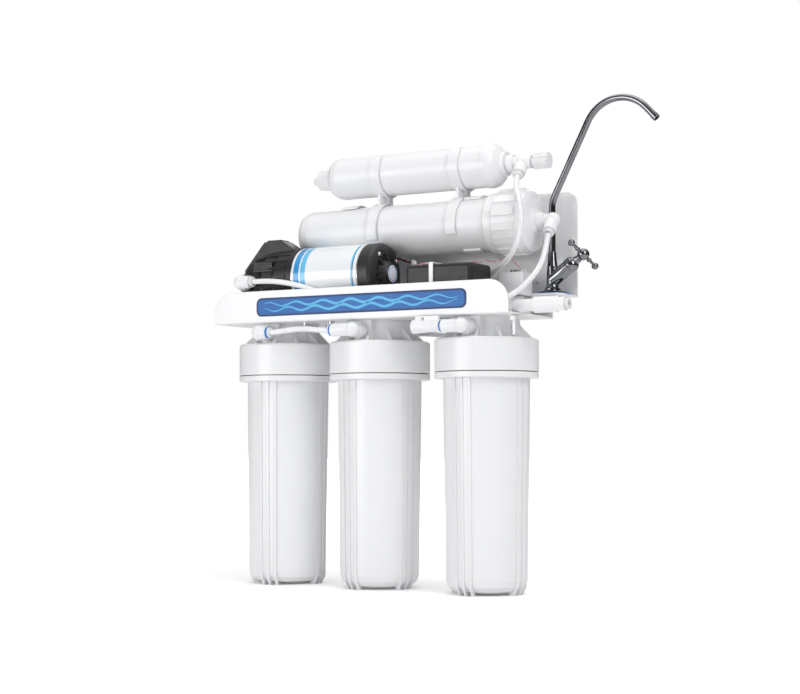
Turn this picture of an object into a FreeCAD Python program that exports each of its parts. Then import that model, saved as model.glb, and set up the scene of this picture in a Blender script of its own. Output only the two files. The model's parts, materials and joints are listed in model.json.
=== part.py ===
import FreeCAD, Part
import math
import os
import re
import Sketcher
from FreeCAD import Placement, Rotation, Vector

# Reverse osmosis unit: three filter housings hang from a folded steel bracket that carries
# the booster pump, its power supply, the valve, the membrane housing, the carbon post filter
# and a chrome drinking-water faucet.
# Millimetres. X runs along the bracket, Y points back to the wall, Z is up. The origin is on
# the middle housing's axis, on the surface that the three housings stand on.

doc = FreeCAD.newDocument("ReverseOsmosisUnit")

SIZES = {
    # housings
    "housing_left": -130, "housing_middle": 0, "housing_right": 141,
    "head_radius": 59, "head_bottom": 248.6, "head_top": 286, "neck_wide": 39.5, "neck_narrow": 37.5,
    "thread_radius": 50.6, "thread_gap": 0.4, "head_ceiling": 264.2, "boss_radius": 12.5,
    "collar_bottom": 241, "collar_top": 247.6, "sump_wide": 49, "sump_narrow": 46,
    "sump_inner_top": 45, "sump_inner_base": 42, "sump_floor": 6, "neck_end": 262,
    "rib_proud": 1.4, "rib_width": 2.6, "rib_step": 11.5, "cartridge_radius": 31.5,
    "cartridge_bottom": 6.6, "cartridge_top": 255.4, "port_height": 298, "port_reach": 42,
    "port_half": 14, "port_bore": 6.6,
    # bracket and back plate
    "shelf_left": -198, "shelf_right": 197, "shelf_front": -57, "shelf_back": 58,
    "shelf_underside": 310, "sheet": 2, "lip_top": 348, "lip_corner": 24,
    "plate_left": -92, "plate_right": 222, "plate_front": 70, "ledge_top": 337, "plate_top": 457,
    "plate_corner": 14, "tab_left": 183, "tab_front": 24, "bolt_height": 323,
    "wall_hole": 3, "wall_hole_height": 444, "wall_hole_left": -52, "wall_hole_right": 148,
    # quick-connect fittings for the 6.35 mm tube
    "tube_radius": 3.175, "lead_radius": 1.3, "fitting_ball": 8.5, "fitting_barrel": 7.5, "fitting_nut": 9.2,
    "collet_bore": 3.25, "collet_sleeve": 5, "collet_flange": 6.3, "elbow_reach": 62,
    # booster pump
    "pump_back": -13, "pump_height": 364.7, "can_radius": 36, "can_left": -94.5, "can_right": -1.5,
    "shaft_radius": 3, "pump_port": -164, "port_level": 360.2,
    # power supply
    "supply_left": 61, "supply_right": 145, "supply_front": -45, "supply_back": 6,
    "supply_top": 370,
    # shut-off valve
    "valve_middle": 165, "valve_back": 25, "plunger_radius": 4,
    # membrane housing
    "membrane_back": 31, "membrane_height": 420.5, "membrane_radius": 30.8, "membrane_left": -123,
    "membrane_right": 148, "membrane_cap_radius": 38.3, "element_radius": 22.5,
    # post filter
    "filter_height": 489, "filter_radius": 25.4, "filter_left": -80, "filter_right": 129,
    "tee_middle": 172, "clip_left": -11, "clip_right": 95, "clip_width": 13,
    # flow restrictor
    "restrictor_front": -31, "restrictor_height": 319.6, "restrictor_left": 190,
    # faucet
    "faucet_middle": 202, "faucet_back": 46, "faucet_seat": 337, "barrel_height": 353,
    "barrel_rise": 36, "spout_radius": 3.9, "spout_foot": 386,
}

sheet = doc.addObject("Spreadsheet::Sheet", "Sizes")
for row, (word, number) in enumerate(SIZES.items(), start=1):
    sheet.set(f"A{row}", word)
    sheet.set(f"B{row}", str(number))
    sheet.setAlias(f"B{row}", word)
doc.recompute()

UPRIGHT = Rotation()
DOWNWARD = Rotation(Vector(1, 0, 0), 180)
RIGHTWARD = Rotation(Vector(0, 1, 0), 90)
LEFTWARD = Rotation(Vector(0, 1, 0), -90)
BACKWARD = Rotation(Vector(1, 0, 0), -90)
FORWARD = Rotation(Vector(1, 0, 0), 90)
HOUSINGS = {"1": "housing_left", "2": "housing_middle", "3": "housing_right"}
SEAM_AWAY = Rotation(Vector(1, 2, 3), 40)
LEAD_EXIT = Rotation(Vector(1, 0, 0), -60)
FOOT_BOLTS = [(-80, -37), (-80, 13), (-44, -37), (-44, 13)]
PLATE_BOLTS = [-70, 40, 150]
CRADLES = [-54, 114]

nodes = []


# ---------------------------------------------------------------- helpers

def size(word):
    """A driving dimension's number, read from the sheet."""
    return float(getattr(sheet, word))


def bound(text):
    """The same expression, with each of the sheet's words pointing at its cell."""
    return re.sub(r"[a-z][a-z_]*", lambda w: f"Sizes.{w.group()}" if w.group() in SIZES else w.group(), text)


def place(thing, at, rotation=UPRIGHT):
    thing.Placement = Placement(Vector(), rotation)
    for axis, text in zip("xyz", at):
        thing.setExpression(f".Placement.Base.{axis}", bound(text))
    return thing


def box(name, at, sides, rotation=UPRIGHT):
    block = place(doc.addObject("Part::Box", name), at, rotation)
    for side, text in zip(("Length", "Width", "Height"), sides):
        block.setExpression(side, bound(text))
    return block


def rod(name, radius, length, at, rotation=UPRIGHT):
    cylinder = place(doc.addObject("Part::Cylinder", name), at, rotation)
    cylinder.setExpression("Radius", bound(radius))
    cylinder.setExpression("Height", bound(length))
    return cylinder


def cone(name, start_radius, end_radius, length, at, rotation=UPRIGHT):
    taper = place(doc.addObject("Part::Cone", name), at, rotation)
    taper.setExpression("Radius1", bound(start_radius))
    taper.setExpression("Radius2", bound(end_radius))
    taper.setExpression("Height", bound(length))
    return taper


def ball(name, radius, at):
    """A sphere, turned so that its seam and poles lie off the axes that other pieces meet it on."""
    sphere = place(doc.addObject("Part::Sphere", name), at, SEAM_AWAY)
    sphere.setExpression("Radius", bound(radius))
    return sphere


def ring(name, middle_radius, wire_radius, at, rotation=UPRIGHT):
    torus = place(doc.addObject("Part::Torus", name), at, rotation)
    torus.setExpression("Radius1", bound(middle_radius))
    torus.setExpression("Radius2", bound(wire_radius))
    return torus


def fuse(name, *shapes):
    joined = doc.addObject("Part::MultiFuse", name)
    joined.Shapes = list(shapes)
    return joined


def cut(name, base, *tools):
    tool = tools[0] if len(tools) == 1 else fuse(f"{name}_tools", *tools)
    rest = doc.addObject("Part::Cut", name)
    rest.Base = base
    rest.Tool = tool
    return rest


def pipe(name, outer, inner, length, at, rotation=UPRIGHT):
    return cut(name, rod(f"{name}_outside", outer, length, at, rotation),
               rod(f"{name}_inside", inner, length, at, rotation))


def group(name, *solids):
    together = doc.addObject("Part::Compound", name)
    together.Links = list(solids)
    return together


def rounded(name, base, radius, chosen):
    """Round the edges of base for which chosen(edge) holds."""
    doc.recompute()
    soft = doc.addObject("Part::Fillet", name)
    soft.Base = base
    soft.Edges = [(number, radius, radius) for number, edge in enumerate(base.Shape.Edges, start=1)
                  if chosen(edge)]
    return soft


def upright_edge(edge):
    low, high = edge.BoundBox.ZMin, edge.BoundBox.ZMax
    return high - low > 0.9 * edge.Length and isinstance(edge.Curve, Part.Line)


def outline(body, name, role, points, slant=0):
    """A closed sketch of straight sides on one of the body's planes, each corner bound to the sheet."""
    sketch = body.newObject("Sketcher::SketchObject", name)
    plane = [feature for feature in body.Origin.OriginFeatures if feature.Role == role][0]
    sketch.AttachmentSupport = [(plane, "")]
    sketch.MapMode = "FlatFace"
    if slant:
        sketch.AttachmentOffset = Placement(Vector(), Rotation(Vector(0, 1, 0), slant))
    count = len(points)
    turns = [2 * math.pi * step / count for step in range(count + 1)]
    starts = [Vector(50 + 20 * math.cos(turn), 20 * math.sin(turn), 0) for turn in turns]
    starts[-1] = starts[0]
    for first, second in zip(starts, starts[1:]):
        sketch.addGeometry(Part.LineSegment(first, second), False)
    for side in range(count):
        sketch.addConstraint(Sketcher.Constraint("Coincident", side, 2, (side + 1) % count, 1))
    for corner, texts in enumerate(points):
        for kind, axis, text in zip(("DistanceX", "DistanceY"), (-2, -1), texts):
            if text == "0":
                sketch.addConstraint(Sketcher.Constraint("PointOnObject", corner, 1, axis))
                continue
            place_held = Sketcher.Constraint(kind, -1, 1, corner, 1, 10.0 + corner)
            number = sketch.addConstraint(place_held)
            sketch.setExpression(f"Constraints[{number}]", bound(text))
    return sketch


def turned(name, points, at=("0", "0", "0"), rotation=UPRIGHT):
    """A body turned about its own Z from (radius, height) corners."""
    body = doc.addObject("PartDesign::Body", name)
    sketch = outline(body, f"{name}_profile", "XZ_Plane", points)
    turn = body.newObject("PartDesign::Revolution", f"{name}_turn")
    turn.Profile = sketch
    turn.ReferenceAxis = (sketch, ["V_Axis"])
    turn.Angle = 360
    return place(body, at, rotation)


def fins(body, name, points, thickness, count, slants=(0,)):
    """Flat radial fins on a turned body, repeated round its axis."""
    pads = []
    for number, slant in enumerate(slants, start=1):
        pad = body.newObject("PartDesign::Pad", f"{name}_{number}")
        pad.Profile = outline(body, f"{name}_shape_{number}", "XZ_Plane", points, slant)
        pad.setExpression("Length", bound(thickness))
        pad.Midplane = True
        pads.append(pad)
    doc.recompute()
    if count == 1:
        body.Tip = pads[-1]
        return body
    pattern = body.newObject("PartDesign::PolarPattern", f"{name}_round")
    pattern.Originals = pads
    axis = [feature for feature in body.Origin.OriginFeatures if feature.Role == "Z_Axis"][0]
    pattern.Axis = (axis, [""])
    pattern.Angle = 360
    pattern.Occurrences = count
    body.Tip = pattern
    return body


def node(name, thing):
    """Keep this object as the sub-part of that name."""
    thing.Label = name
    nodes.append(thing)
    return thing


def tube_path(points):
    """Straight runs joined by tangent arcs, as large as the runs allow."""
    places = [Vector(*point) for point in points]
    edges = []
    radii = []
    start = places[0]
    for before, corner, after in zip(places, places[1:], places[2:]):
        arriving = (corner - before).normalize()
        leaving = (after - corner).normalize()
        half_turn = arriving.getAngle(leaving) / 2
        setback = 0.45 * min((corner - before).Length, (after - corner).Length)
        radii.append(setback / math.tan(half_turn))
        first = corner - arriving * setback
        last = corner + leaving * setback
        inward = (leaving - arriving).normalize()
        middle = corner + inward * (setback / math.sin(half_turn) * (1 / math.cos(half_turn) - 1)
                                    * math.cos(half_turn))
        edges.append(Part.LineSegment(start, first).toShape())
        edges.append(Part.Arc(first, middle, last).toShape())
        start = last
    edges.append(Part.LineSegment(start, places[-1]).toShape())
    return Part.Wire(edges), radii


def tube(name, points, radius):
    """A round solid along a hand-laid route."""
    path, radii = tube_path(points)
    direction = Vector(*points[1]) - Vector(*points[0])
    section = Part.Wire([Part.Circle(Vector(*points[0]), direction, radius).toShape()])
    solid = path.makePipeShell([section], True, False)
    feature = doc.addObject("Part::Feature", name)
    feature.Shape = solid
    feature.Placement = Placement()
    expected = math.pi * radius ** 2 * path.Length
    tightest = min(radii) / (2 * radius)
    print(f"{name}: length {path.Length:.0f}, volume ratio {solid.Volume / expected:.4f}, "
          f"tightest bend {tightest:.1f} diameters, radii {[round(r) for r in radii]}")
    return feature


# ---------------------------------------------------------------- bracket and back plate

def build_bracket():
    floor = box("shelf_floor", ("shelf_left", "shelf_front", "shelf_underside"),
                ("shelf_right - shelf_left", "shelf_back - shelf_front", "sheet"))
    lip = box("shelf_lip", ("shelf_left", "shelf_front", "shelf_underside"),
              ("shelf_right - shelf_left", "sheet", "lip_top - shelf_underside"))
    flange = box("shelf_flange", ("shelf_left", "shelf_back - sheet", "shelf_underside"),
                 ("shelf_right - shelf_left", "sheet", "ledge_top - sheet - shelf_underside"))

    def top_corner(edge):
        return edge.BoundBox.ZMin > size("shelf_underside") + 9 and edge.BoundBox.YLength > 1 and edge.Length < 3

    soft_lip = rounded("soft_lip", lip, size("lip_corner"), top_corner)
    soft_flange = rounded("soft_flange", flange, 12, top_corner)
    folded = fuse("folded_sheet", floor, soft_lip, soft_flange)

    def fold_edge(edge):
        corner = edge.BoundBox
        return (edge.Length > 300 and corner.ZMax < size("shelf_underside") + 0.1
                and (abs(corner.YMin - size("shelf_front")) < 0.1 or abs(corner.YMin - size("shelf_back")) < 0.1))

    bent = rounded("bent_sheet", folded, 1.8, fold_edge)
    holes = []
    for number, middle in HOUSINGS.items():
        for across in (-22, 22):
            for back in (-22, 22):
                holes.append(rod(f"head_screw_hole_{number}_{across + 22}_{back + 22}", "2.2", "sheet + 2",
                                 (f"{middle} + {across}", str(back), "shelf_underside - 1")))
    for along, back in FOOT_BOLTS:
        holes.append(rod("foot_hole", "2.2", "sheet + 2", (str(along), str(back), "shelf_underside - 1")))
    for front in ("supply_front - 3.4", "supply_back + 0.4"):
        holes.append(box("supply_tie_slot", ("91.5", front, "shelf_underside - 1"), ("7", "3", "sheet + 2")))
    for front in ("restrictor_front - 11", "restrictor_front + 8"):
        holes.append(box("restrictor_tie_slot", ("187.5", front, "shelf_underside - 1"),
                         ("6", "3", "sheet + 2")))
    for along in PLATE_BOLTS:
        holes.append(rod("flange_hole", "2.2", "sheet + 2",
                         (str(along), "shelf_back - sheet - 1", "bolt_height"),
                         BACKWARD))
    node("bracket", cut("bracket_sheet", bent, *holes))


def build_back_plate():
    plate = box("plate_blank", ("plate_left", "plate_front", "ledge_top - sheet"),
                ("plate_right - plate_left", "sheet", "plate_top - ledge_top + sheet"))

    def plate_corner(edge):
        return edge.BoundBox.YLength > 1 and edge.Length < 3 and edge.BoundBox.ZMin > size("plate_top") - 1

    soft_plate = rounded("soft_plate", plate, size("plate_corner"), plate_corner)
    ledge = box("plate_ledge", ("plate_left", "shelf_back - sheet", "ledge_top - sheet"),
                ("tab_left - plate_left", "plate_front + sheet - shelf_back + sheet", "sheet"))
    apron = box("plate_apron", ("plate_left", "shelf_back", "shelf_underside + 3"),
                ("tab_left - plate_left", "sheet", "ledge_top - sheet - shelf_underside - 3"))
    tab = box("faucet_tab", ("tab_left - 1", "tab_front", "ledge_top - sheet"),
              ("plate_right - tab_left + 1", "plate_front + sheet - tab_front", "sheet"))

    def tab_corner(edge):
        return upright_edge(edge) and edge.BoundBox.YMin < size("tab_front") + 1

    soft_tab = rounded("soft_tab", tab, 9, tab_corner)
    holes = [rod("faucet_hole", "5.6", "sheet + 2",
                 ("faucet_middle", "faucet_back", "ledge_top - sheet - 1"))]
    for along in ("wall_hole_left", "wall_hole_right"):
        holes.append(rod("wall_screw_hole", "wall_hole", "sheet + 2",
                         (along, "plate_front - 1", "wall_hole_height"), BACKWARD))
    for along in PLATE_BOLTS:
        holes.append(rod("plate_hole", "2.2", "sheet + 2", (str(along), "shelf_back - 1", "bolt_height"),
                         BACKWARD))
    for along in CRADLES:
        holes.append(rod("clip_hole", "1.7", "sheet + 2", (str(along), "plate_front - 1", "membrane_height"),
                         BACKWARD))
    folded = fuse("plate_folded", soft_plate, ledge, apron, soft_tab)
    node("back_plate", cut("back_plate_sheet", folded, *holes))


def screw(name, at, rotation, length, shank="1.7", head="3.6"):
    """A pan-head screw whose shank runs from the head's seat."""
    shaft = rod(f"{name}_shank", shank, length, at, rotation)
    cap = place(doc.addObject("Part::Cone", f"{name}_head"), at, rotation.multiply(DOWNWARD))
    cap.setExpression("Radius1", bound(head))
    cap.setExpression("Radius2", bound(f"{head} * 0.7"))
    cap.Height = 2.2
    return fuse(name, shaft, cap)


def build_screws():
    head_screws = []
    for number, middle in HOUSINGS.items():
        for across in (-22, 22):
            for back in (-22, 22):
                head_screws.append(screw(f"head_screw_{number}_{across + 22}_{back + 22}",
                                         (f"{middle} + {across}", str(back), "shelf_underside + sheet"),
                                         DOWNWARD, "11"))
    node("head_screws", group("head_screw_set", *head_screws))
    plate_screws = []
    for along in PLATE_BOLTS:
        at = (str(along), "shelf_back - sheet", "bolt_height")
        bolt = screw("plate_bolt", at, BACKWARD, "9")
        nut = rod("plate_nut", "3.6", "2.4", (str(along), "shelf_back + sheet", "bolt_height"), BACKWARD)
        plate_screws.append(fuse("plate_fastener", bolt, nut))
    for along in CRADLES:
        at = (str(along), "plate_front", "membrane_height")
        plate_screws.append(rod("clip_screw", "1.45", "7", at, FORWARD))
    node("plate_screws", group("plate_screw_set", *plate_screws))


# ---------------------------------------------------------------- filter housings

def build_housing(number, middle, rib_turn):
    head = turned(f"head_turned_{number}", [
        ("thread_radius + thread_gap", "head_bottom"), ("head_radius", "head_bottom"),
        ("head_radius", "head_top - 2"), ("head_radius - 2", "head_top"),
        ("neck_wide", "head_top"), ("neck_narrow", "shelf_underside"), ("0", "shelf_underside"),
        ("0", "cartridge_top + 0.3"), ("boss_radius", "cartridge_top + 0.3"), ("boss_radius", "head_ceiling"),
        ("thread_radius + thread_gap", "head_ceiling")], (middle, "0", "0"))
    fins(head, f"gusset_{number}", [("neck_narrow - 2", "head_top - 0.5"), ("head_radius - 5",
                                                                            "head_top - 0.5"),
                                    ("neck_narrow - 2", "head_top + 18")], "2.2", 12, (15,))
    ports = box(f"port_block_{number}", (f"{middle} - port_half", "-port_reach", "head_top - 1"),
                ("port_half * 2", "port_reach * 2", "shelf_underside - head_top + 0.9"))
    bores = [rod(f"outlet_bore_{number}", "port_bore", "19", (middle, "-port_reach - 1", "port_height"),
                 BACKWARD),
             rod(f"inlet_bore_{number}", "port_bore", "19", (middle, "port_reach + 1", "port_height"),
                 FORWARD),
             rod(f"outlet_way_{number}", "3.5", "port_reach", (middle, "-port_reach", "port_height"),
                 BACKWARD),
             rod(f"inlet_way_{number}", "3.5", "18", (middle, "port_reach", "port_height"), FORWARD),
             rod(f"inlet_drop_{number}", "3", "36", (middle, "26", "port_height - 36"), UPRIGHT),
             rod(f"outlet_drop_{number}", "4.5", "44", (middle, "0", "port_height - 44"), UPRIGHT),
             pipe(f"seal_groove_{number}", "48.2", "45.2", "1", (middle, "0", "head_ceiling - 0.01"))]
    for across in (-22, 22):
        for back in (-22, 22):
            bores.append(rod(f"screw_pilot_{number}_{across + 22}_{back + 22}", "1.7", "10",
                             (f"{middle} + {across}", str(back), "shelf_underside - 9.9")))
    node(f"head_{number}", cut(f"head_whole_{number}", fuse(f"head_solid_{number}", head, ports), *bores))

    sump = turned(f"sump_turned_{number}", [
        ("0", "0"), ("12", "0"), ("12.6", "2"), ("sump_narrow - 14", "2"), ("sump_narrow - 6", "4.5"),
        ("sump_narrow - 1.6", "9.5"),
        ("sump_narrow", "16"), ("sump_wide", "collar_bottom"), ("head_radius - 0.6", "collar_bottom"),
        ("head_radius", "collar_bottom + 0.8"), ("head_radius", "collar_top"),
        ("thread_radius", "collar_top"), ("thread_radius", "neck_end"), ("sump_inner_top", "neck_end"),
        ("sump_inner_top", "collar_bottom"), ("sump_inner_base", "16"), ("sump_inner_base - 8", "sump_floor"),
        ("0", "sump_floor")], (middle, "0", "0"))
    rib = [("sump_narrow - 10", "0"), ("sump_narrow - 3.4", "0"), ("sump_narrow + rib_proud", "9"),
           ("sump_wide + rib_proud", "collar_bottom + 1"), ("sump_narrow - 1", "collar_bottom + 1"),
           ("sump_narrow - 2.6", "14"), ("sump_narrow - 10", "5")]
    fins(sump, f"rib_{number}", rib, "rib_width", 4, (-size("rib_step"), 0, size("rib_step")))
    sump.Placement = Placement(sump.Placement.Base, Rotation(Vector(0, 0, 1), rib_turn))
    node(f"sump_{number}", sump)

    media = pipe(f"media_{number}", "cartridge_radius", "12", "cartridge_top - cartridge_bottom - 8",
                 (middle, "0", "cartridge_bottom + 4"))
    ends = [pipe(f"end_cap_{number}_{level}", "cartridge_radius + 1", "8", "4", (middle, "0", height))
            for level, height in (("low", "cartridge_bottom"), ("high", "cartridge_top - 4"))]
    node(f"cartridge_{number}", fuse(f"cartridge_whole_{number}", media, *ends))


def build_seals():
    seals = [ring(f"seal_{number}", "46.7", "1.3", (middle, "0", "head_ceiling - 0.35"))
             for number, middle in HOUSINGS.items()]
    seals.append(ring("membrane_ring", "membrane_radius - 0.7", "1.3",
                      ("membrane_right + 16.5", "membrane_back", "membrane_height"), RIGHTWARD))
    node("seals", group("seal_set", *seals))


# ---------------------------------------------------------------- fittings on the heads

def shift(at, rotation, distance):
    """The place that lies a distance along the rotated Z, as expressions."""
    direction = rotation.multVec(Vector(0, 0, 1))
    moved = []
    for text, part in zip(at, (direction.x, direction.y, direction.z)):
        rounded_part = round(part, 6)
        moved.append(text if abs(rounded_part) < 1e-6 else f"{text} + ({distance}) * ({rounded_part})")
    return tuple(moved)


def open_mouth(name, solid, corner, rotation, reach):
    """Open a fitting's arm: the water way, and the wider mouth that takes the release ring."""
    mouth = rod(f"{name}_mouth", "collet_sleeve + 0.1", "8", shift(corner, rotation, f"{reach} - 7.9"),
                rotation)
    way = rod(f"{name}_way", "collet_bore + 0.3", reach, corner, rotation)
    return cut(name, solid, mouth, way)


def elbow(name, corner, stem_rotation, stem_length, nut_start, arm_rotation, reach):
    """An elbow: a threaded stem with a nut, a round corner and a hollow arm."""
    stem = rod(f"{name}_stem", "port_bore - 0.05", stem_length, corner, stem_rotation)
    nut = rod(f"{name}_nut", "fitting_nut", "8", shift(corner, stem_rotation, nut_start), stem_rotation)
    nut_ring = rod(f"{name}_nut_ring", "fitting_nut - 1.6", "3",
                   shift(corner, stem_rotation, f"{nut_start} - 3"),
                   stem_rotation)
    knuckle = ball(f"{name}_knuckle", "fitting_ball", corner)
    arm = rod(f"{name}_arm", "fitting_barrel", reach, corner, arm_rotation)
    solid = fuse(f"{name}_solid", stem, nut, nut_ring, knuckle, arm)
    return open_mouth(name, solid, corner, arm_rotation, reach)


def collet(name, mouth, rotation):
    """The release ring in a fitting's mouth: a sleeve with a flange outside."""
    sleeve = rod(f"{name}_sleeve", "collet_sleeve", "10.2", shift(mouth, rotation, "-6"), rotation)
    flange = rod(f"{name}_flange", "collet_flange", "1.4", shift(mouth, rotation, "2.8"), rotation)
    bore = rod(f"{name}_bore", "collet_bore", "14", shift(mouth, rotation, "-8"), rotation)
    return cut(name, fuse(f"{name}_solid", sleeve, flange), bore)


def locking_clip(name, mouth, rotation):
    """The horseshoe clip between a collet's flange and its fitting."""
    horseshoe = pipe(f"{name}_ring", "collet_flange + 0.4", "collet_sleeve + 0.1", "2.4",
                     shift(mouth, rotation, "0.2"), rotation)
    low = shift(mouth, rotation, "-1")
    gap = box(f"{name}_gap", (f"{low[0]} - 6", f"{low[1]} + 2.5", f"{low[2]} - 4"), ("12", "8", "8"))
    return cut(name, horseshoe, gap)


FRONT_ELBOWS = {"1": (RIGHTWARD, "12.5"), "2": (LEFTWARD, "26"), "3": (LEFTWARD, "22")}
REAR_ELBOWS = {"1": (LEFTWARD, "16"), "2": (RIGHTWARD, "16"), "3": (LEFTWARD, "16")}


def build_head_fittings():
    elbows = []
    collets = []
    clips = []
    for number, middle in HOUSINGS.items():
        for side, table, front, stem_rotation in (("front", FRONT_ELBOWS, "-elbow_reach", BACKWARD),
                                                  ("rear", REAR_ELBOWS, "elbow_reach - 11", FORWARD)):
            arm_rotation, reach = table[number]
            corner = (middle, front, "port_height")
            stem_length = "36" if side == "front" else "25"
            nut_start = "12" if side == "front" else "1"
            name = f"{side}_elbow_{number}"
            elbows.append(elbow(name, corner, stem_rotation, stem_length, nut_start, arm_rotation, reach))
            mouth = shift(corner, arm_rotation, reach)
            if name != "rear_elbow_1":
                collets.append(collet(f"{side}_collet_{number}", mouth, arm_rotation))
                clips.append(locking_clip(f"{side}_clip_{number}", mouth, arm_rotation))
    node("head_elbows", group("head_elbow_set", *elbows))
    node("locking_clips", group("locking_clip_set", *clips))
    node("feed_collet", collet("feed_release", shift(("housing_left", "elbow_reach - 11", "port_height"),
                                                     LEFTWARD, "16"), LEFTWARD))
    return collets


def build_crossover_tubes():
    front = -size("elbow_reach")
    level = size("port_height")
    start = size("housing_left") + 8.5
    end = size("housing_middle") - 21.5
    arched = [(start, front, level), (start + 14, front, level), ((start + end) / 2, front, level + 3.4),
              (end - 16, front, level), (end, front, level)]
    front_tube = tube("front_crossover", arched, size("tube_radius"))
    back = size("elbow_reach") - 11
    rear_start = size("housing_middle") + 12
    rear_end = size("housing_right") - 12
    bowed = [(rear_start, back, level), (rear_start + 22, back, level),
             ((rear_start + rear_end) / 2, back, level - 5),
             (rear_end - 22, back, level), (rear_end, back, level)]
    rear_tube = tube("rear_crossover", bowed, size("tube_radius"))
    node("crossover_tubes", group("crossover_tube_set", front_tube, rear_tube))


def build_pressure_switch():
    right = "housing_right - 22 - 4.4"
    at = (right, "-elbow_reach", "port_height")
    shell = cone("switch_shell", "5.9", "7.9", "33", at, LEFTWARD)
    spigot = rod("switch_spigot", "tube_radius", "12", at, RIGHTWARD)
    collar = rod("switch_collar", "6.6", "4", shift(at, LEFTWARD, "5"), LEFTWARD)
    lug = box("switch_lug", ("housing_right - 57", "-elbow_reach - 1", "port_height"), ("30", "3", "11.7"))
    hole = rod("switch_lug_hole", "1.8", "12",
               ("housing_right - 47", "-elbow_reach - 4", "port_height + 8.6"),
               BACKWARD)
    whole = fuse("switch_solid", shell, spigot, collar, lug)
    node("pressure_switch", cut("pressure_switch_body", whole, hole))


# ---------------------------------------------------------------- booster pump

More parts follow.
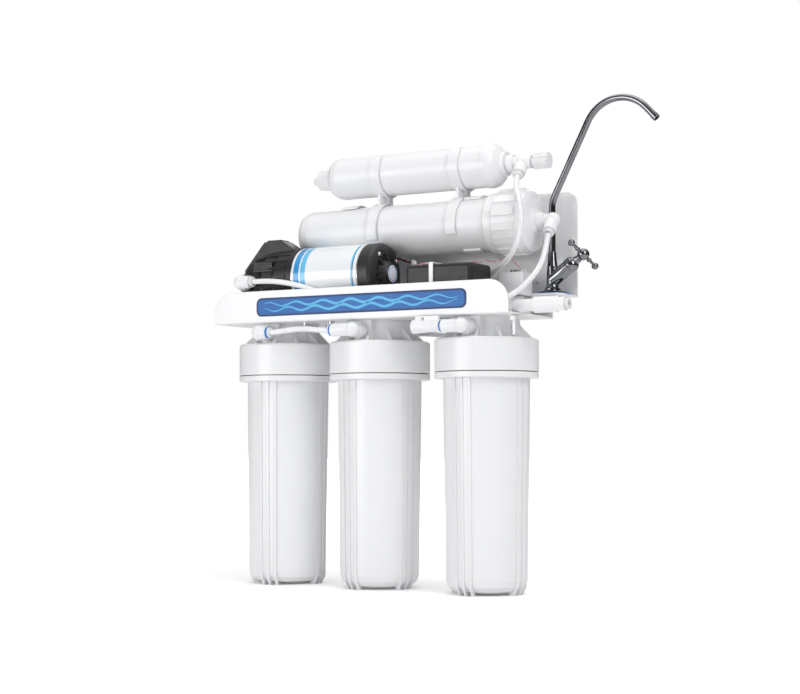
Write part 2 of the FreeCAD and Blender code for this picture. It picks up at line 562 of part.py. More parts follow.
def build_pump():
    axis = ("pump_back", "pump_height")
    can = turned("pump_can_turned", [
        ("can_radius - 2.5", "0"), ("can_radius", "0"), ("can_radius", "can_right - can_left"),
        ("can_radius - 2.5", "can_right - can_left")], ("can_left", *axis), RIGHTWARD)
    node("pump_can", can)
    label = pipe("pump_sleeve", "can_radius + 0.35", "can_radius", "can_right - can_left - 3",
                 ("can_left + 1.5", *axis), RIGHTWARD)
    node("pump_label", label)

    head_right = ("can_left", *axis)
    lobes = turned("pump_head_turned", [
        ("0", "0"), ("can_radius + 0.6", "0"), ("can_radius + 0.6", "7"), ("can_radius - 2", "8.5"),
        ("can_radius - 2", "26"), ("can_radius - 3.5", "30"), ("can_radius - 3.5", "44"),
        ("can_radius - 7", "50"),
        ("can_radius - 8", "66"), ("can_radius - 14", "75"), ("can_radius - 22", "82"), ("10", "85"),
        ("0", "85")],
        head_right, LEFTWARD)
    fins(lobes, "pump_ridge", [("can_radius - 14", "9"), ("can_radius - 0.6", "9"),
                               ("can_radius - 0.6", "26"),
                               ("can_radius - 2.2", "44"), ("can_radius - 6", "62"),
                               ("can_radius - 14", "66")],
         "3.2", 20)
    fins(lobes, "pump_saddle", [("8", "10"), ("35", "10"), ("35", "11.5"), ("46.5", "29.5"), ("46", "54.5"),
                                ("43", "57.5"), ("13", "83.5"), ("8", "83.5")], "22", 1)
    crown = box("pump_crown", ("can_left - 52", "pump_back - 9", "pump_height + 45"), ("20", "18", "3"))
    ribbed = [box("pump_rib", ("can_left - 55.5", "pump_back - 34", f"pump_height + {level}"),
                  ("28", "20", "2"))
              for level in (7.5, 12, 16.5)]
    ribbed.append(box("pump_rib_core", ("can_left - 54.5", "pump_back - 33", "pump_height + 7.5"),
                      ("26", "19", "11")))
    ports = [rod("pump_port_front", "11", "30", ("pump_port", "pump_back - 30", "port_level"), BACKWARD),
             rod("pump_port_rear", "11", "30", ("pump_port", "pump_back", "port_level"), BACKWARD)]
    solid = fuse("pump_head_solid", lobes, crown, *ribbed, *ports)
    cavity = rod("pump_cam_room", "22", "22", shift(head_right, LEFTWARD, "-0.01"), LEFTWARD)
    pocket = rod("pump_shaft_pocket", "shaft_radius + 0.05", "12", shift(head_right, LEFTWARD, "21"),
                 LEFTWARD)
    front_bore = rod("pump_front_bore", "port_bore", "12", ("pump_port", "pump_back - 31", "port_level"),
                     BACKWARD)
    rear_bore = rod("pump_rear_bore", "port_bore", "12", ("pump_port", "pump_back + 31", "port_level"),
                    FORWARD)
    node("pump_head", cut("pump_head_whole", solid, cavity, pocket, front_bore, rear_bore))

    cap = turned("pump_cap_turned", [
        ("0", "4"), ("can_radius - 3.2", "4"), ("can_radius - 3", "0"), ("can_radius + 0.6", "0"),
        ("can_radius + 0.6", "13"), ("can_radius - 1.5", "16.5"), ("can_radius - 6", "18.5"),
        ("can_radius - 12", "19"), ("can_radius - 14", "17.5"), ("17", "17.5"), ("14.5", "22"),
        ("12.5", "25"),
        ("11", "26.5"), ("0", "26.5")], ("can_right", *axis), RIGHTWARD)
    fins(cap, "cap_spoke", [("11", "14.2"), ("can_radius - 9", "14.2"), ("can_radius - 9", "18"),
                            ("13.4", "22.4")],
         "3.1", 8)
    bearing = rod("cap_bearing", "shaft_radius + 0.05", "12", ("can_right + 3.9", *axis), RIGHTWARD)
    gland = rod("cap_gland", "3", "5", shift(("can_right + 9.5", *axis), LEAD_EXIT, "34"), LEAD_EXIT)
    node("pump_end_cap", cut("pump_end_cap_whole", fuse("pump_cap_solid", cap, gland), bearing))

    shaft = rod("rotor_shaft", "shaft_radius", "can_right - can_left + 43", ("can_left - 29", *axis),
                RIGHTWARD)
    armature = rod("rotor_core", "23", "56", ("can_left + 16", *axis), RIGHTWARD)
    commutator = rod("rotor_commutator", "11", "14", ("can_left + 76", *axis), RIGHTWARD)
    cam = rod("rotor_cam", "13", "9", ("can_left - 14", "pump_back - 2.5", "pump_height"), RIGHTWARD)
    node("pump_rotor", fuse("pump_rotor_whole", shaft, armature, commutator, cam))
    magnets = pipe("magnet_ring", "can_radius - 2.6", "can_radius - 9", "56", ("can_left + 16", *axis),
                   RIGHTWARD)
    slot = box("magnet_slot", ("can_left + 10", "pump_back - 50", "pump_height - 6"), ("70", "100", "12"))
    node("pump_magnets", cut("pump_magnet_pair", magnets, slot))

    feet = []
    for name, along in (("left", "-88"), ("right", "-52")):
        saddle = box(f"saddle_{name}", (along, "pump_back - 30", "shelf_underside + sheet"),
                     ("16", "60", "26"))
        room = rod(f"saddle_room_{name}", "can_radius + 0.45", "30", (f"{along} - 5", *axis), RIGHTWARD)
        feet.append(cut(f"saddle_whole_{name}", saddle, room))
    holes = [rod("foot_bolt_hole", "2.1", "40", (str(along), str(back), "shelf_underside"))
             for along, back in FOOT_BOLTS]
    left_foot, right_foot = feet
    node("pump_feet", group("pump_foot_set", cut("left_foot", left_foot, *holes[:2]),
                            cut("right_foot", right_foot, *holes[2:])))
    bolts = []
    for along, back in FOOT_BOLTS:
        shank = rod("foot_bolt", "2", "12", (str(along), str(back), "shelf_underside - 5.4"))
        nut = rod("foot_nut", "3.9", "3.2", (str(along), str(back), "shelf_underside - 3.2"))
        bolts.append(fuse("foot_fastener", shank, nut))
    bolts.append(rod("coil_nut", "5.4", "3.4", ("valve_middle", "valve_back", "361.7")))
    node("shelf_bolts", group("shelf_bolt_set", *bolts))

    corner = ("pump_port", "pump_back - 39", "port_level")
    front_elbow = elbow("pump_outlet_elbow", corner, BACKWARD, "18", "1", RIGHTWARD, "14")
    rear_corner = ("pump_port", "pump_back + 39", "port_level")
    rear_elbow = elbow("pump_inlet_elbow", rear_corner, FORWARD, "18", "1", RIGHTWARD, "14")
    node("pump_elbows", group("pump_elbow_set", front_elbow, rear_elbow))
    return [collet("pump_outlet_collet", shift(corner, RIGHTWARD, "14"), RIGHTWARD),
            collet("pump_inlet_collet", shift(rear_corner, RIGHTWARD, "14"), RIGHTWARD)]


# ---------------------------------------------------------------- power supply

def build_power_supply():
    low = ("supply_left", "supply_front", "shelf_underside + sheet")
    shell = box("supply_block", low, ("supply_right - supply_left", "supply_back - supply_front",
                                      "supply_top - shelf_underside - sheet"))

    def outer_edge(edge):
        return upright_edge(edge) or edge.BoundBox.ZMin > size("supply_top") - 0.1

    soft = rounded("supply_soft", shell, 4.5, outer_edge)
    room = box("supply_room", ("supply_left + 3", "supply_front + 3", "shelf_underside + sheet - 1"),
               ("supply_right - supply_left - 6", "supply_back - supply_front - 6", "55"))
    way_out = rod("supply_wire_hole", "3", "8", ("supply_left - 2", "-12", "360"), RIGHTWARD)
    node("supply_case", cut("supply_case_whole", soft, room, way_out))
    node("supply_core", box("supply_transformer", ("supply_left + 12", "supply_front + 7",
                                                   "shelf_underside + 10"),
                            ("60", "37", "46")))
    outside = box("tie_outside", ("92.5", "supply_front - 1.7", "shelf_underside - 1.5"),
                  ("5", "supply_back - supply_front + 3.4", "supply_top - shelf_underside + 3.2"))
    inside = box("tie_inside", ("90", "supply_front - 0.4", "shelf_underside - 0.2"),
                 ("10", "supply_back - supply_front + 0.8", "supply_top - shelf_underside + 0.6"))
    catch = box("tie_catch", ("91", "-18", "shelf_underside - 5"), ("8", "8", "4.2"))
    node("supply_tie", fuse("supply_tie_whole", cut("tie_band", outside, inside), catch))


# ---------------------------------------------------------------- shut-off valve

def build_valve():
    base = box("valve_base", ("valve_middle - 12", "valve_back - 18", "shelf_underside + sheet + 2.8"),
               ("24", "36", "16.2"))
    feet = [box("valve_foot", (along, "valve_back - 18", "shelf_underside + sheet"), ("3.5", "36", "3"))
            for along in ("valve_middle - 12", "valve_middle + 8.5")]
    bonnet = rod("valve_bonnet", "10", "4", ("valve_middle", "valve_back", "shelf_underside + sheet + 18.9"))
    stem = rod("valve_stem", "5.6", "29", ("valve_middle", "valve_back", "shelf_underside + sheet + 20"))
    outlet = rod("valve_outlet", "fitting_barrel", "24",
                 ("valve_middle", "valve_back", "restrictor_height + 2"),
                 LEFTWARD)
    inlet = rod("valve_inlet", "fitting_barrel - 2.3", "34",
                ("valve_middle", "valve_back", "restrictor_height"), FORWARD)
    solid = fuse("valve_solid", base, bonnet, stem, outlet, inlet, *feet)
    guide = rod("valve_guide", "plunger_radius + 0.05", "34", ("valve_middle", "valve_back", "324"))
    way_in = rod("valve_way_in", "3", "34", ("valve_middle", "valve_back", "restrictor_height"), FORWARD)
    node("valve_body", cut("valve_body_whole", solid, guide, way_in))
    yoke = box("coil_block", ("valve_middle - 16", "valve_back - 14", "335.6"), ("32", "28", "26"))

    soft = rounded("coil_soft", yoke, 3, upright_edge)
    hollow = rod("coil_hollow", "5.65", "40", ("valve_middle", "valve_back", "330"))
    terminals = [box(f"coil_blade_{number}", (along, "valve_back - 2", "361"), ("1", "5", "5"))
                 for number, along in enumerate(("valve_middle + 8.5", "valve_middle + 12"), start=1)]
    node("valve_coil", cut("valve_coil_whole", fuse("coil_solid", soft, *terminals), hollow))
    node("valve_plunger", rod("plunger_rod", "plunger_radius", "16", ("valve_middle", "valve_back", "326")))
    node("valve_spring", pipe("plunger_spring", "3", "2", "14.6", ("valve_middle", "valve_back", "342.1")))


# ---------------------------------------------------------------- membrane housing

def build_membrane():
    axis = ("membrane_back", "membrane_height")
    shell = turned("membrane_turned", [
        ("0", "-8"), ("8", "-8"), ("8.6", "-1"), ("19", "0"), ("26", "3.5"), ("membrane_radius - 1", "10"),
        ("membrane_radius", "18"), ("membrane_radius + 0.6", "258"), ("membrane_radius + 4.6", "261"),
        ("membrane_radius + 4.6", "271"), ("membrane_radius + 2", "271"), ("membrane_radius + 2", "286"),
        ("membrane_radius - 4", "286"), ("membrane_radius - 4", "16"), ("22", "7"), ("9", "5"), ("0", "5")],
        ("membrane_left", *axis), RIGHTWARD)
    node("membrane_housing", shell)

    cap = turned("membrane_cap_turned", [
        ("membrane_radius + 2.4", "0.3"), ("membrane_cap_radius - 2.4", "0.3"),
        ("membrane_cap_radius - 1.6", "1.2"),
        ("membrane_cap_radius - 1.9", "31"), ("membrane_cap_radius - 4", "37"),
        ("membrane_cap_radius - 9", "39"),
        ("16", "40"), ("10", "44"), ("9", "52"), ("0", "52"), ("0", "34"), ("membrane_radius - 2", "32"),
        ("membrane_radius - 2", "18"), ("membrane_radius + 2.4", "18")], ("membrane_right", *axis), RIGHTWARD)
    fins(cap, "cap_grip", [("membrane_cap_radius - 3", "2"), ("membrane_cap_radius + 0.3", "2"),
                           ("membrane_cap_radius + 0.1", "29"), ("membrane_cap_radius - 3", "32")], "9", 14)
    node("membrane_cap", cap)
    roll = rod("element_roll", "element_radius", "270", ("membrane_left + 12", *axis), RIGHTWARD)
    core = rod("element_core", "8.4", "294", ("membrane_left + 5.5", *axis), RIGHTWARD)
    brine_seal = rod("element_seal", "26.6", "6", ("membrane_left + 258", *axis), RIGHTWARD)
    node("membrane_element", fuse("membrane_element_whole", roll, core, brine_seal))

    corner = ("membrane_right + 62", *axis)
    slope = Rotation(Vector(1, 0, 0), 180 - 37)
    knuckle = ball("membrane_knuckle", "fitting_ball", corner)
    stem = rod("membrane_stem", "fitting_ball - 1", "10", corner, LEFTWARD)
    arm = rod("membrane_arm", "fitting_barrel", "17", corner, slope)
    cap_elbow = open_mouth("membrane_elbow", fuse("membrane_elbow_solid", knuckle, stem, arm), corner,
                           slope, "17")
    backslope = Rotation(Vector(1, 0, 0), 180 + 20)
    side = shift(("membrane_left + 14", *axis), backslope, "membrane_radius + 0.5")
    port = open_mouth("permeate_port", rod("permeate_arm", "fitting_barrel", "17", side, backslope), side,
                      backslope,
                      "17")
    node("membrane_fittings", group("membrane_fitting_set", cap_elbow, port))
    return [collet("membrane_collet", shift(corner, slope, "17"), slope),
            collet("permeate_collet", shift(side, backslope, "17"), backslope)]


# ---------------------------------------------------------------- post filter and clips

def build_post_filter():
    axis = ("membrane_back", "filter_height")
    shell = turned("filter_turned", [
        ("0", "-31"), ("5", "-31"), ("5.4", "-23.5"), ("11.6", "-22.5"), ("12.5", "-14"), ("13", "-5"),
        ("20", "-1"),
        ("filter_radius - 1.4", "4.5"), ("filter_radius", "11"), ("filter_radius", "209"),
        ("filter_radius - 2.4", "209"), ("filter_radius - 2.4", "12"), ("16", "6"), ("4", "4"), ("0", "4")],
        ("filter_left", *axis), RIGHTWARD)
    node("post_filter", shell)
    end = turned("filter_end_turned", [
        ("filter_radius - 2.6", "-6"), ("filter_radius - 2.5", "0.2"), ("filter_radius + 1", "0.2"),
        ("filter_radius + 1", "6"), ("filter_radius - 0.5", "11"), ("filter_radius - 4", "15"),
        ("filter_radius - 9", "18.5"), ("14", "20"), ("14", "24"), ("0", "24"), ("0", "16"), ("12", "14"),
        ("filter_radius - 5", "10"), ("filter_radius - 5", "-6")], ("filter_right", *axis), RIGHTWARD)
    node("post_filter_cap", end)
    node("filter_media", pipe("carbon_bed", "filter_radius - 5.4", "3", "194", ("filter_left + 14", *axis),
                              RIGHTWARD))

    corner = ("tee_middle", *axis)
    slope = Rotation(Vector(1, 0, 0), 180 - 37)
    nut = rod("tee_nut", "10", "9", shift(corner, LEFTWARD, "18.7"), RIGHTWARD)
    run = rod("tee_run", "fitting_barrel", "26", shift(corner, LEFTWARD, "14"), RIGHTWARD)
    knuckle = ball("tee_knuckle", "fitting_ball + 0.3", corner)
    branch = rod("tee_branch", "fitting_barrel", "17", corner, slope)
    knob = rod("tee_knob", "8.6", "18", shift(corner, RIGHTWARD, "16"), RIGHTWARD)
    knob_neck = rod("tee_knob_neck", "5", "8", shift(corner, RIGHTWARD, "10"), RIGHTWARD)
    ridges = [box(f"knob_ridge_{turn}", shift(corner, RIGHTWARD, "16.5"), ("17", "1.8", "9.4"),
                  Rotation(Vector(1, 0, 0), 36 * turn)) for turn in range(10)]
    solid = fuse("filter_tee_solid", nut, run, knuckle, branch, knob, knob_neck, *ridges)
    node("filter_tee", open_mouth("filter_tee_whole", solid, corner, slope, "17"))
    return [collet("tee_collet", shift(corner, slope, "17"), slope)]


def hook(name, along, axis, inner, outer, opening_low, opening_high, opening_side):
    """A snap-on C clip round a tube that lies along X."""
    band = pipe(f"{name}_band", outer, inner, "clip_width", (along, *axis), RIGHTWARD)
    gap = box(f"{name}_gap", (f"{along} - 1", f"{axis[0]} + ({opening_side[0]})",
                              f"{axis[1]} + ({opening_side[1]})"),
              ("clip_width + 2", opening_low, opening_high))
    return cut(name, band, gap)


def build_clips():
    doubles = []
    for side in ("left", "right"):
        along = f"clip_{side} - clip_width / 2"
        lower = hook(f"lower_hook_{side}", along, ("membrane_back", "membrane_height"),
                     "membrane_radius + 0.9",
                     "membrane_radius + 3.6", "100", "33", ("-50", "-46"))
        upper = hook(f"upper_hook_{side}", along, ("membrane_back", "filter_height"), "filter_radius + 0.3",
                     "filter_radius + 2.9", "36", "30", ("-18", "14"))
        web = box(f"web_{side}", (along, "membrane_back - 3", "membrane_height + membrane_radius + 2.6"),
                  ("clip_width", "6",
                   "filter_height - membrane_height - filter_radius - membrane_radius - 4"))
        brace = box(f"brace_{side}", (f"clip_{side} - 1.5", "membrane_back - 15",
                                      "membrane_height + membrane_radius - 2"), ("3", "30", "16"))
        trim = [rod(f"brace_trim_low_{side}", "membrane_radius + 1.2", "20",
                    (along, "membrane_back", "membrane_height"),
                    RIGHTWARD),
                rod(f"brace_trim_high_{side}", "filter_radius + 0.6", "20",
                    (along, "membrane_back", "filter_height"),
                    RIGHTWARD)]
        joined = fuse(f"double_clip_{side}", lower, upper, web, cut(f"brace_whole_{side}", brace, *trim))
        doubles.append(joined)
    node("double_clips", group("double_clip_set", *doubles))

    singles = []
    for along in CRADLES:
        start = str(along - 11)
        band = pipe("cradle_band", "membrane_radius + 3.2", "membrane_radius + 0.9", "22",
                    (start, "membrane_back", "membrane_height"), RIGHTWARD)
        pad = box("cradle_pad", (start, "membrane_back + membrane_radius + 1.6", "membrane_height - 9"),
                  ("22", "plate_front - membrane_back - membrane_radius - 1.6", "18"))
        front = box("cradle_front", (str(along - 12), "membrane_back - 40", "membrane_height - 40"),
                    ("24", "26", "80"))
        pilot = rod("cradle_pilot", "1.5", "9", (str(along), "plate_front + 0.1", "membrane_height"), FORWARD)
        singles.append(cut("cradle", fuse("cradle_solid", band, pad), front, pilot))
    node("plate_clips", group("plate_clip_set", *singles))


# ---------------------------------------------------------------- flow restrictor

def build_restrictor():
    axis = ("restrictor_front", "restrictor_height")
    body = turned("restrictor_turned", [
        ("0", "-4"), ("tube_radius", "-4"), ("tube_radius", "0"), ("6.8", "0"), ("6.8", "24"),
        ("7.4", "24.5"),
        ("7.4", "26"), ("9", "27"), ("9", "54"), ("7.6", "55.5"), ("7.6", "64"), ("5.1", "64"), ("5.1", "56"),
        ("3.2", "56"), ("3.2", "30"), ("0", "30")], ("restrictor_left", *axis), RIGHTWARD)
    node("flow_restrictor", body)
    corner = ("valve_middle", "restrictor_front", "restrictor_height")
    knuckle = ball("valve_knuckle", "fitting_barrel - 0.1", corner)
    stem = rod("valve_elbow_stem", "fitting_barrel - 2.3", "valve_back - 34.1 - restrictor_front", corner,
               BACKWARD)
    nut = rod("valve_elbow_nut", "fitting_barrel - 0.3", "6", shift(corner, BACKWARD, "15.5"), BACKWARD)
    arm = rod("valve_elbow_arm", "fitting_barrel - 0.5", "restrictor_left - valve_middle - 4.1", corner,
              RIGHTWARD)
    node("valve_elbow", fuse("valve_elbow_whole", knuckle, stem, nut, arm))
    node("drain_collet", collet("drain_release", shift(("restrictor_left", *axis), RIGHTWARD, "64"),
                                RIGHTWARD))
    outside = box("small_tie_outside", ("188.8", "restrictor_front - 9.2", "shelf_underside - 1.4"),
                  ("3.4", "18.4", "19.3"))
    inside = box("small_tie_inside", ("187", "restrictor_front - 8", "shelf_underside - 0.2"),
                 ("8", "16", "16.9"))
    catch = box("small_tie_catch", ("187.8", "restrictor_front - 3", "shelf_underside - 6.2"),
                ("5.4", "6", "5.4"))
    tail = box("small_tie_tail", ("189", "restrictor_front + 1", "shelf_underside - 22"), ("3", "1.2", "17"))
    node("restrictor_tie", fuse("restrictor_tie_whole", cut("small_tie_band", outside, inside), catch, tail))


# ---------------------------------------------------------------- faucet

def build_faucet():
    upright = ("faucet_middle", "faucet_back", "faucet_seat")
    node("faucet_plate", turned("faucet_plate_turned", [
        ("5.1", "0"), ("20", "0"), ("20", "1.2"), ("17", "3"), ("11", "4.6"), ("5.1", "5")], upright))
    column = turned("faucet_column_turned", [
        ("0", "-16"), ("5", "-16"), ("5", "5"), ("9", "5"), ("9", "6.6"), ("7.4", "8.4"), ("6.7", "12"),
        ("6.6", "22"), ("6", "32"), ("5", "42"), ("4.5", "spout_foot - faucet_seat - 0.3"),
        ("2.2", "spout_foot - faucet_seat - 0.3"), ("2.2", "20"), ("0", "20")], upright)
    tilt = Rotation(Vector(0, 1, 0), 90 - size("barrel_rise"))
    root = ("faucet_middle", "faucet_back", "barrel_height")
    arm = rod("faucet_barrel", "8.4", "28", root, tilt)
    bonnet = ball("faucet_bonnet", "9", shift(root, tilt, "28.5"))
    bonnet_neck = rod("faucet_bonnet_neck", "4.6", "8", shift(root, tilt, "32"), tilt)
    cone_room = rod("faucet_seat_bore", "3.05", "22", shift(root, tilt, "22.1"), tilt)
    node("faucet_body", cut("faucet_body_whole", fuse("faucet_solid", column, arm, bonnet, bonnet_neck),
                            cone_room))

    spindle = rod("handle_spindle", "3", "24", shift(root, tilt, "22.4"), tilt)
    skirt = rod("handle_skirt", "4", "2.5", shift(root, tilt, "40.3"), tilt)
    dome = ball("handle_dome", "7", shift(root, tilt, "47.5"))
    pieces = [spindle, skirt, dome]
    for turn in (36, 216):
        arm_turn = tilt.multiply(Rotation(Vector(0, 0, 1), turn)).multiply(Rotation(Vector(0, 1, 0), 90))
        hub = shift(root, tilt, "47.5")
        pieces.append(cone(f"handle_arm_{turn}", "2.4", "1.5", "17", hub, arm_turn))
        pieces.append(ball(f"handle_bead_{turn}", "2.7", shift(hub, arm_turn, "9.5")))
        pieces.append(ball(f"handle_ball_{turn}", "4", shift(hub, arm_turn, "19.5")))
    node("faucet_handle", fuse("faucet_handle_whole", *pieces))

    foot = Vector(size("faucet_middle"), size("faucet_back"), size("spout_foot"))
    lean = math.radians(27)
    bend_radius = 34
    arc_radius = 43
    straight = 91
    up = Vector(0, 0, 1)
    right = Vector(1, 0, 0)
    bend_start = foot + up * 49
    bend_middle = bend_start + right * bend_radius * (1 - math.cos(lean / 2)) + up * bend_radius * math.sin(lean / 2)
    bend_end = bend_start + right * bend_radius * (1 - math.cos(lean)) + up * bend_radius * math.sin(lean)
    rise = right * math.sin(lean) + up * math.cos(lean)
    arc_start = bend_end + rise * straight
    centre = arc_start + (right * math.cos(lean) - up * math.sin(lean)) * arc_radius

    def on_arc(angle):
        return centre + (right * -math.cos(angle) + up * math.sin(angle)) * arc_radius

    last_angle = math.radians(137)
    arc_middle = on_arc((lean + last_angle) / 2)
    arc_end = on_arc(last_angle)
    nose = right * math.sin(last_angle) + up * math.cos(last_angle)
    tip = arc_end + nose * 18
    path = Part.Wire([Part.LineSegment(foot, bend_start).toShape(),
                      Part.Arc(bend_start, bend_middle, bend_end).toShape(),
                      Part.LineSegment(bend_end, arc_start).toShape(),
                      Part.Arc(arc_start, arc_middle, arc_end).toShape(),
                      Part.LineSegment(arc_end, tip).toShape()])
    outer = path.makePipeShell([Part.Wire([Part.Circle(foot, up, size("spout_radius")).toShape()])], True,
                               False)
    inner = path.makePipeShell([Part.Wire([Part.Circle(foot, up, size("spout_radius") - 1).toShape()])],
                               True, False)
    stub = Part.makeCylinder(2.15, 14, foot - up * 13.5, up).fuse(
        Part.makeCylinder(size("spout_radius") - 0.9, 3, foot, up))
    sleeve = stub.cut(Part.makeCylinder(1.2, 20, foot - up * 14, up))
    nose_ring = Part.makeCylinder(size("spout_radius") + 0.5, 6, tip - nose * 5, nose).cut(
        Part.makeCylinder(size("spout_radius") - 1, 8, tip - nose * 6, nose))
    spout = doc.addObject("Part::Feature", "faucet_spout")
    spout.Shape = outer.cut(inner).fuse([sleeve, nose_ring])
    spout.Placement = Placement()
    node("faucet_spout", spout)
    nut = pipe("shank_nut", "9", "5.05", "5.4", ("faucet_middle", "faucet_back", "faucet_seat - sheet - 8"))
    washer = pipe("shank_washer", "11", "5.05", "2.4",
                  ("faucet_middle", "faucet_back", "faucet_seat - sheet - 2.5"))
    node("faucet_nut", fuse("faucet_nut_whole", nut, washer))


# ---------------------------------------------------------------- hoses and wires

FEED_HOSE = [(-145.8, -52, 360.2), (-131, -52.6, 360.3), (-112, -53.6, 359), (-92, -53, 355.8),
             (-72, -51.2, 350.5),
             (-52, -50.6, 343.5), (-26, -51, 334.5), (8, -50.5, 326.5), (50, -51.1, 321.8),
             (92, -50.6, 320.3),
             (136, -51.1, 320.6), (164, -51, 321.6), (184, -47, 325.5), (196, -34, 334), (201, -16, 346.5),
             (206, -1.5, 360.5), (210, 9.5, 378), (210, 18.2, 403.5)]
PERMEATE_HOSE = [(172, 18.2, 472), (174, 9, 460), (185, -7, 446), (193, -15.5, 424), (192, -17.5, 398),
                 (178, -10, 378), (157, 3, 366.8), (136, 15, 358.5), (112, 27.5, 346.5), (80, 37, 336.5),
                 (33, 41.5, 331.5), (-20, 44, 330.5), (-66, 45.5, 333.5), (-90, 48.5, 339), (-104, 52, 348),
                 (-109, 52.2, 359.5), (-109, 49, 371.1)]
PUMP_LEAD = [(8, 20.9, 384.25), (8.5, 26, 387.2), (15, 29.5, 385), (24, 26, 381.5), (34, 18, 380),
             (43, 8.5, 377),
             (50.5, -1.5, 369.5), (54.5, -8.5, 361.8), (62, -10.6, 360)]
VALVE_LEAD = [(62, -13.4, 360), (54, -13.9, 360.4), (46.5, -10.5, 363.5), (46.5, -3, 371.5), (58, 2, 377),
              (82, 5, 374.4), (108, 8.5, 374.2), (131, 15, 376.5), (151, 22.5, 376.8), (166, 26.5, 374.5),
              (173.6, 25.6, 366.2)]


def build_hoses():
    node("feed_hose", tube("membrane_feed", FEED_HOSE, size("tube_radius")))
    node("permeate_hose", tube("permeate_line", PERMEATE_HOSE, size("tube_radius")))
    node("pump_lead", tube("pump_wires", PUMP_LEAD, size("lead_radius")))
    node("valve_lead", tube("valve_wires", VALVE_LEAD, size("lead_radius")))


def build_all():
    build_bracket()
    build_back_plate()
    build_screws()
    for (number, middle), rib_turn in zip(HOUSINGS.items(), (5, -16, -6.5)):
        build_housing(number, middle, rib_turn)
    build_seals()
    collets = build_head_fittings()
    build_crossover_tubes()
    build_pressure_switch()
    collets += build_pump()
    build_power_supply()
    build_valve()
    collets += build_membrane()
    collets += build_post_filter()
    node("collets", group("collet_set", *collets))
    build_clips()
    build_restrictor()
    build_faucet()
    build_hoses()


build_all()
doc.recompute()

troubled = [thing.Name for thing in doc.Objects if {"Invalid", "Error"} & set(thing.State)]
if troubled:
    raise RuntimeError(f"these objects failed: {troubled}")
for thing in nodes:
    if thing.Shape.isNull() or not thing.Shape.isValid():
        raise RuntimeError(f"{thing.Label} has no valid shape")

os.makedirs("parts", exist_ok=True)
for thing in nodes:
    thing.Shape.exportStep(f"parts/{thing.Label}.step")
print(len(nodes), "sub-parts written")
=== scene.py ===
"""Looks of the reverse osmosis unit: materials, hoses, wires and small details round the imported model."""
import json
import math

import bmesh
import bpy
from mathutils import Matrix, Vector


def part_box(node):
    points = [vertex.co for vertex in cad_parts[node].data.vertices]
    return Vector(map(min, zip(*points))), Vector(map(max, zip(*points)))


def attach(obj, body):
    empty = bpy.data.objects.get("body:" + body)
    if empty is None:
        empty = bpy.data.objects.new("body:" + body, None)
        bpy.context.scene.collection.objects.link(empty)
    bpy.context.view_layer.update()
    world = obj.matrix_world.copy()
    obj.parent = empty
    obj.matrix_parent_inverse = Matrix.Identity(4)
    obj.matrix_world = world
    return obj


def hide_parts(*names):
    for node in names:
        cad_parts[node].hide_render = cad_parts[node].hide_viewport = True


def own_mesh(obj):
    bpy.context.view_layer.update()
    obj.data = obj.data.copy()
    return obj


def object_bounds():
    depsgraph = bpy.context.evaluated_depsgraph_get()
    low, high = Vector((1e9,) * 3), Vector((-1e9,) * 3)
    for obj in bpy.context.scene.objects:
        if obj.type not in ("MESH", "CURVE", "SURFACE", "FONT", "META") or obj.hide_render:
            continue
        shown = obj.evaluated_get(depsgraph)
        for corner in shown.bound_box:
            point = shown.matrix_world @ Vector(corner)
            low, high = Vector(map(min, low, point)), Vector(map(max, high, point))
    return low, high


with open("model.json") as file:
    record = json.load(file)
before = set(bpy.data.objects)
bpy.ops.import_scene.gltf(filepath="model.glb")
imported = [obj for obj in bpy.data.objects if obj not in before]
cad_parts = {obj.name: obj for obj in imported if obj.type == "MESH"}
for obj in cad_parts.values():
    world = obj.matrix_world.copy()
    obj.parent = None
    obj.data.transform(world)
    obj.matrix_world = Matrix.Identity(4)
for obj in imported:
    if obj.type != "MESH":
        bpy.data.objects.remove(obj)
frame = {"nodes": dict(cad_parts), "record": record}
cad_low, cad_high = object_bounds()

MM = 0.001
SIDE = Vector((1, 0, 0))
BACK = Vector((0, 1, 0))
UP = Vector((0, 0, 1))


# ---------------------------------------------------------------- materials

